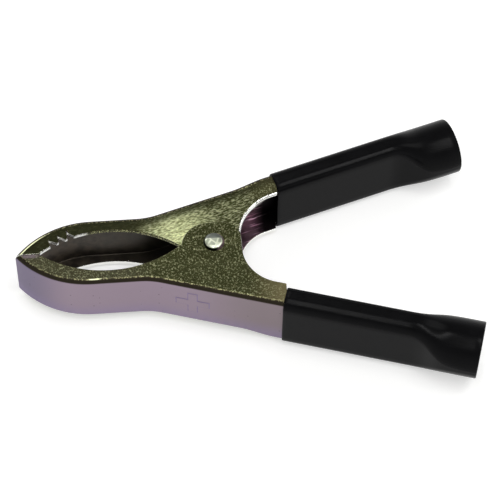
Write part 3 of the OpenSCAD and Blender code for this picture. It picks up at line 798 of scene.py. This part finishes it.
def round_edges(arm, turned_over):
    """Rounds the sheared edges, most of all the rim at the throat, which takes the bare edge's finish."""
    shape = bmesh.new()
    shape.from_mesh(arm.data)
    share = shape.edges.layers.float.new("bevel_weight_edge")
    for edge in shape.edges:
        if edge.is_manifold and edge.calc_face_angle() > SHARP_ANGLE:
            rim = all(at_rim(corner.co, turned_over, ON_RIM) for corner in edge.verts)
            edge[share] = 1.0 if rim else EDGE_ROUNDING / RIM_ROUNDING
    shape.to_mesh(arm.data)
    shape.free()
    rounding = arm.modifiers.new("rounded_edges", "BEVEL")
    rounding.width = RIM_ROUNDING * MM
    rounding.segments = ROUNDING_STEPS
    rounding.limit_method = "WEIGHT"
    rounding.use_clamp_overlap = False
    even = arm.modifiers.new("even_faces", "WEIGHTED_NORMAL")
    even.keep_sharp = True
    settle(arm)
    for polygon in arm.data.polygons:
        if at_rim(polygon.center, turned_over, RIM_ROUNDING) and abs(polygon.normal.z) < UPRIGHT:
            polygon.material_index = EDGE_SLOT


def folded_arm(name, turned_over, finishes):
    """One stamping: folded, trimmed, notched, pierced for the rivet, its sheared edges slightly rounded."""
    rings = arm_rings()
    count = len(rings[0])
    half = count // 2
    last = (len(rings) - 1) * count
    faces = ring_faces(len(rings), count)
    slots = ([OUTSIDE_SLOT] * half + [INSIDE_SLOT] * half) * (len(rings) - 1)
    # Quads that close the sheet's two ends
    strip = [[i + 1, i, count - 1 - i, count - 2 - i] for i in range(half - 1)]
    faces += strip + [[last + i for i in reversed(face)] for face in strip]
    slots += [EDGE_SLOT] * (2 * len(strip))
    arm = add_piece(name, np.vstack(rings), faces, turned_over, slots)
    for finish in finishes:
        arm.data.materials.append(finish)
    level = 2 * HALF_WIDTH
    combine(arm, prism("trimming_body", trimmed_plan(), -level, level, turned_over), "INTERSECT")
    for number in range(NOTCH_COUNT):
        combine(arm, prism("notching_body", notch(number), 0, level, turned_over), "DIFFERENCE")
    hole = arc((0, 0), RIVET_HOLE_RADIUS, 0, 360, HOLE_STEPS)[:-1]
    combine(arm, prism("piercing_body", hole, -level, level, turned_over), "DIFFERENCE")
    if turned_over:
        combine(arm, plus_sign(), "UNION")
    round_edges(arm, turned_over)
    return arm


# Steps over the rivet's domed face and round the rivet
DOME_STEPS = 16
RIVET_SIDES = 48


def turned_piece(name, profile, sides):
    """A solid of revolution about the pivot from a profile of radius and height."""
    points = [[0, 0, profile[0][1]]]
    angles = np.linspace(0, 2 * math.pi, sides, endpoint=False)
    for radius, height in profile[1:-1]:
        points += [[radius * math.cos(a), radius * math.sin(a), height] for a in angles]
    points.append([0, 0, profile[-1][1]])
    rows = len(profile) - 2
    faces = [[0, 1 + (i + 1) % sides, 1 + i] for i in range(sides)]
    faces += [[1 + corner for corner in face] for face in ring_faces(rows, sides)]
    last = 1 + (rows - 1) * sides
    faces += [[last + i, last + (i + 1) % sides, len(points) - 1] for i in range(sides)]
    return add_piece(name, points, faces)


def headed_rivet():
    """The rivet: a shank and two low heads, each with a domed face on a sloping foot."""
    dome = []
    for angle in np.linspace(0, math.pi / 2, DOME_STEPS + 1):
        radius = FACE_RADIUS * math.sin(angle) ** FACE_FULLNESS
        dome.append((radius, FOOT_TOP + FACE_RISE * abs(math.cos(angle)) ** FACE_FULLNESS))
    upper = dome + [(HEAD_RADIUS, HEAD_BASE), (RIVET_RADIUS, HEAD_BASE)]
    lower = [(r, -z) for r, z in upper]
    return turned_piece("pivot_rivet_headed", lower + upper[::-1], RIVET_SIDES)


def sweep(name, route, radius, sides):
    """A round wire along a route."""
    route = np.asarray(route)
    ahead = np.roll(route, -1, 0)
    behind = np.roll(route, 1, 0)
    ahead[-1] = route[-1]
    behind[0] = route[0]
    way = ahead - behind
    way /= np.linalg.norm(way, axis=1)[:, None]
    side = np.cross(way, [0, 0, 1])
    side /= np.linalg.norm(side, axis=1)[:, None]
    up = np.cross(side, way)
    points = []
    for k in range(sides):
        angle = 2 * math.pi * k / sides
        points.append(route + radius * (math.cos(angle) * side + math.sin(angle) * up))
    points = np.stack(points, 1).reshape(-1, 3)
    faces = [[a, d, c, b] for a, b, c, d in ring_faces(len(route), sides)]
    end = (len(route) - 1) * sides
    faces += [list(range(sides)), list(range(end + sides - 1, end - 1, -1))]
    return add_piece(name, points, faces)


# Half the clear width between the inner cheeks, and the coil's radius and half length to the wire's middle
CLEAR_HALF = INNER_HALF - SHEET
COIL_RADIUS = RIVET_RADIUS + COIL_GAP + WIRE_RADIUS
COIL_HALF = CLEAR_HALF - COIL_END_GAP - WIRE_RADIUS
# Points along the coil and along a leg, and sides of the wire
COIL_STEPS = 160
LEG_STEPS = 12
WIRE_SIDES = 16


def closing_spring():
    """The torsion spring: a leg on the upper web, the coil round the rivet, a leg on the lower web."""
    leg_v = HANDLE_OFFSET - SHEET - LEG_GAP - WIRE_RADIUS
    reach = math.hypot(LEG_REACH, leg_v)
    lean = math.radians(HANDLE_ANGLE) + math.atan2(leg_v, LEG_REACH) - math.asin(COIL_RADIUS / reach)
    length = math.sqrt(reach ** 2 - COIL_RADIUS ** 2)
    sweep_angle = 2 * math.pi * COIL_TURNS + math.pi - 2 * lean
    tip = length * np.array([math.cos(lean), math.sin(lean), 0])
    t = np.linspace(0, 1, COIL_STEPS)
    angles = math.pi / 2 + lean + sweep_angle * t
    coil = np.stack([COIL_RADIUS * np.cos(angles), COIL_RADIUS * np.sin(angles), COIL_HALF * (1 - 2 * t)], -1)
    along = np.linspace(1, 0, LEG_STEPS)[:-1, None]
    first = coil[0] + along * tip
    second = coil[-1] + along[::-1] * tip * [1, -1, 1]
    return sweep("closing_spring", np.vstack([first, coil, second]), WIRE_RADIUS, WIRE_SIDES)


# Where the sleeve's walls lie about the handle, and where its flat stretch, blend and round end finish. The
# channel's square edges keep a little further from the low wall, because the sleeve's corners are round.
SLEEVE_MARGIN = SLEEVE_CLEARANCE + SLEEVE_WALL
SLEEVE_BACK_V = HANDLE_OFFSET + SLEEVE_MARGIN
INNER_CORNER = SLEEVE_CORNER - SLEEVE_WALL
EDGE_GAP = SLEEVE_CLEARANCE + INNER_CORNER - math.sqrt(
    INNER_CORNER ** 2 - (INNER_CORNER - SLEEVE_CLEARANCE) ** 2)
SLEEVE_LOW_V = HANDLE_EDGE_V - EDGE_GAP - SLEEVE_WALL
TUBE_V = SLEEVE_BACK_V - TUBE_AXIS_DEPTH
BLEND_START_U = HANDLE_REACH + SLEEVE_OVERHANG
BLEND_END_U = BLEND_START_U + SLEEVE_BLEND
SLEEVE_END_U = BLEND_END_U + TUBE_LENGTH
# Steps round a ring's corners and along its flats, and round the sleeve's lips
CORNER_STEPS = 8
FLAT_STEPS = 10
LIP_STEPS = 6
# Rings on the flat stretch, in the blend and on the round end
FLAT_RINGS = 43
BLEND_RINGS = 18
TUBE_RINGS = 3
# The skin is stretched thin over the corners, so its outside is rounder than the solid's
SOFT_BACK_CORNER = 2.5
SOFT_LOW_CORNER = 1.8
# How often the rings about the blend are evened out, and how far past it
SOFT_ROUNDS = 12
SOFT_REACH = 2.5


def sleeve_roundness(u):
    """0 where the sleeve is flat on the channel, 1 where it is round."""
    return math.sin(math.pi / 2 * min(max((u - BLEND_START_U) / SLEEVE_BLEND, 0), 1))


def softened(rings, shares):
    """Rings evened out with the ones before and after, each by its share, as soft PVC stretches."""
    for _ in range(SOFT_ROUNDS):
        middle = (np.roll(rings, 1, 0) + np.roll(rings, -1, 0)) / 2
        rings = rings + shares[:, None, None] * (middle - rings)
    return rings


def sleeve_ring(u, wall):
    """A ring of the sleeve at u, sunk inward by wall, in the clip's directions."""
    turn = sleeve_roundness(u)
    low_v = SLEEVE_LOW_V + wall
    back_v = SLEEVE_BACK_V - wall
    half_z = HALF_WIDTH + SLEEVE_MARGIN - wall
    depth = wall / SLEEVE_WALL
    back_corner = SOFT_BACK_CORNER + (BEND_RADIUS + SLEEVE_CLEARANCE - SOFT_BACK_CORNER) * depth
    low_corner = SOFT_LOW_CORNER + (INNER_CORNER - SOFT_LOW_CORNER) * depth
    corners = np.array([
        [back_v - back_corner, half_z - back_corner, back_corner],
        [low_v + low_corner, half_z - low_corner, low_corner],
        [low_v + low_corner, low_corner - half_z, low_corner],
        [back_v - back_corner, back_corner - half_z, back_corner],
    ])
    corners = corners * (1 - turn) + np.array([TUBE_V, 0, TUBE_RADIUS - wall]) * turn
    bends = []
    for k, (v, z, radius) in enumerate(corners):
        angles = math.pi / 2 * (k + (np.arange(CORNER_STEPS) + 0.5) / CORNER_STEPS)
        bends.append(np.stack([v + radius * np.cos(angles), z + radius * np.sin(angles)], -1))
    ring = []
    for k in range(4):
        start, stop = bends[k][-1], bends[(k + 1) % 4][0]
        share = np.arange(1, FLAT_STEPS)[:, None] / FLAT_STEPS
        ring += [bends[k], start + (stop - start) * share]
    ring = np.vstack(ring)
    x, y = handle_point(u, ring[:, 0])
    return np.stack([x, y, ring[:, 1]], -1)


def soft_sleeve(name, turned_over):
    """A soft tube pulled over a handle: flat where the channel fills it, round at its open end."""
    lip = SLEEVE_WALL / 2
    turns = np.radians(np.linspace(0, 180, LIP_STEPS + 1))
    flat = np.linspace(SLEEVE_START + lip, BLEND_START_U, FLAT_RINGS + 1)[1:]
    blend = np.linspace(BLEND_START_U, BLEND_END_U, BLEND_RINGS + 1)[1:]
    tube = np.linspace(BLEND_END_U, SLEEVE_END_U - lip, TUBE_RINGS + 2)[1:-1]
    along = np.concatenate([flat, blend, tube])
    route = [(u, 0.0) for u in along]
    route += [(SLEEVE_END_U - lip + lip * math.sin(a), lip - lip * math.cos(a)) for a in turns]
    route += [(u, SLEEVE_WALL) for u in along[::-1]]
    route += [(SLEEVE_START + lip - lip * math.sin(a), lip + lip * math.cos(a)) for a in turns]
    rings = np.array([sleeve_ring(u, wall) for u, wall in route])
    middle = (BLEND_START_U + BLEND_END_U) / 2
    reach = SLEEVE_BLEND / 2 + SOFT_REACH
    shares = np.array([0.0 if wall else max(1 - ((u - middle) / reach) ** 4, 0.0) for u, wall in route])
    rings = softened(rings, shares)
    total, count = rings.shape[:2]
    return add_piece(name, np.vstack(rings), ring_faces(total, count, closed=True), turned_over)


def give(piece, node, body, material=None):
    """Puts a piece in a node's place, on its body, with its finish."""
    if material:
        piece.data.materials.clear()
        piece.data.materials.append(material)
    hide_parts(node)
    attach(piece, body)


def build_clip():
    """All pieces of the clip, each in its CAD node's place."""
    finishes = [passivated_steel(), sheared_edge(), channel_inside(), pressed_outline()]
    pvc = dipped_pvc()
    give(folded_arm("lower_arm_folded", True, finishes), "lower_arm", "lower_half")
    give(folded_arm("upper_arm_folded", False, finishes), "upper_arm", "upper_half")
    give(headed_rivet(), "pivot_rivet", "lower_half", rivet_steel())
    give(soft_sleeve("lower_sleeve_soft", True), "lower_sleeve", "lower_half", pvc)
    give(soft_sleeve("upper_sleeve_soft", False), "upper_sleeve", "upper_half", pvc)
    spring = closing_spring()
    spring.data.materials.append(drawn_wire())
    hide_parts("torsion_spring")
    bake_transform(spring)


# Half the floor's side in metres, the light that keeps it white, and how high the walls fade to the ceiling
FLOOR_REACH = 2.5
FLOOR_LIFT = 0.47
CEILING_RISE = (0.15, 0.6)


def studio_floor():
    """A plain pale floor that stays white to the eye and in the metal, and keeps the clip's shadow."""
    material, tree, shader = new_material("white_paper_backdrop")
    shader.inputs["Base Color"].default_value = linear("#DEDEDE")
    shader.inputs["Roughness"].default_value = 0.9
    seen = add_node(tree, "ShaderNodeLightPath", output="Is Camera Ray")
    for ray in ("Is Glossy Ray", "Is Transmission Ray"):
        other = add_node(tree, "ShaderNodeLightPath", output=ray)
        seen = add_node(tree, MATH, [seen, other], operation="MAXIMUM")
    lift = add_node(tree, MATH, [seen, FLOOR_LIFT], operation="MULTIPLY")
    shader.inputs["Emission Color"].default_value = (1, 1, 1, 1)
    tree.links.new(lift, shader.inputs["Emission Strength"])
    corners = [(x * FLOOR_REACH, y * FLOOR_REACH, 0) for x, y in ((-1, -1), (1, -1), (1, 1), (-1, 1))]
    mesh = bpy.data.meshes.new("studio_floor")
    mesh.from_pydata(corners, [], [[0, 1, 2, 3]])
    mesh.materials.append(material)
    floor = bpy.data.objects.new("studio_floor", mesh)
    bpy.context.collection.objects.link(floor)


def studio_world():
    """Pale walls round the table and a darker ceiling."""
    world = bpy.data.worlds.new("studio")
    world.use_nodes = True
    tree = world.node_tree
    tree.nodes.clear()
    way = add_node(tree, "ShaderNodeTexCoord", output="Generated")
    rise = add_node(tree, SPLIT, [way]).node.outputs["Z"]
    ceiling = add_node(tree, RANGE, [rise, *CEILING_RISE])
    colour = add_node(tree, MIX, {"Factor": ceiling, "A": "#FFFFFF", "B": "#868680"}, **COLOURS)
    background = add_node(tree, "ShaderNodeBackground", {"Color": colour, "Strength": 1.0})
    surface = tree.nodes.new("ShaderNodeOutputWorld").inputs["Surface"]
    tree.links.new(background, surface)
    bpy.context.scene.world = world


def soft_light(name, place, target, width, depth, power):
    """A soft box aimed at a point; sizes in metres, power in watts."""
    lamp = bpy.data.lights.new(name, "AREA")
    lamp.shape = "RECTANGLE"
    lamp.size = width
    lamp.size_y = depth
    lamp.energy = power
    light = bpy.data.objects.new(name, lamp)
    light.location = place
    light.rotation_euler = (Vector(target) - Vector(place)).to_track_quat("-Z", "Y").to_euler()
    bpy.context.collection.objects.link(light)


def studio_lights():
    """A soft box on each side, two lamps over the table and a small one that glints on the cheeks."""
    table = (0, 0, 0)
    soft_light("left_soft_box", (-0.45, 0.75, 0.6), table, 0.5, 0.5, 1.5)
    soft_light("right_soft_box", (0.7, 0.3, 0.7), table, 0.4, 0.4, 1.0)
    # Long lamps that hang level. Each leans by a hair, which turns its length square to one handle, so
    # that it shines along that sleeve's ridge.
    soft_light("overhead_lamp_right", (0.351, -0.25, 0.86), (0.3507, -0.249, 0), 0.12, 0.75, 3.2)
    soft_light("overhead_lamp_left", (-0.141, -0.25, 0.9), (-0.1407, -0.249, 0), 0.12, 0.75, 2.2)
    soft_light("glint_lamp", (-0.0045, 0.331, 0.519), table, 0.06, 0.06, 0.09)


def studio_camera():
    """The camera at the picture's viewing angle."""
    height, turn, lean = (math.radians(a) for a in (VIEW_HEIGHT, VIEW_TURN, VIEW_LEAN))
    flat = math.cos(height)
    forward = Vector((math.sin(turn) * flat, math.cos(turn) * flat, -math.sin(height)))
    level = Vector((math.cos(turn), -math.sin(turn), 0))
    upright = level.cross(forward)
    across = math.cos(lean) * level + math.sin(lean) * upright
    upward = -math.sin(lean) * level + math.cos(lean) * upright
    lens = bpy.data.cameras.new("studio_camera")
    lens.sensor_width = SENSOR_WIDTH
    lens.lens = FOCAL_PIXELS * SENSOR_WIDTH / PICTURE_PIXELS
    lens.clip_start = 0.01
    lens.clip_end = 20.0
    camera = bpy.data.objects.new("studio_camera", lens)
    axes = Matrix((across, upward, -forward)).transposed()
    place = Vector(VIEW_TARGET) * MM - forward * VIEW_DISTANCE * MM
    camera.matrix_world = Matrix.Translation(place) @ axes.to_4x4()
    bpy.context.collection.objects.link(camera)
    bpy.context.scene.camera = camera


studio_camera()
build_clip()
studio_floor()
studio_world()
studio_lights()
bpy.context.scene.view_settings.view_transform = "Standard"
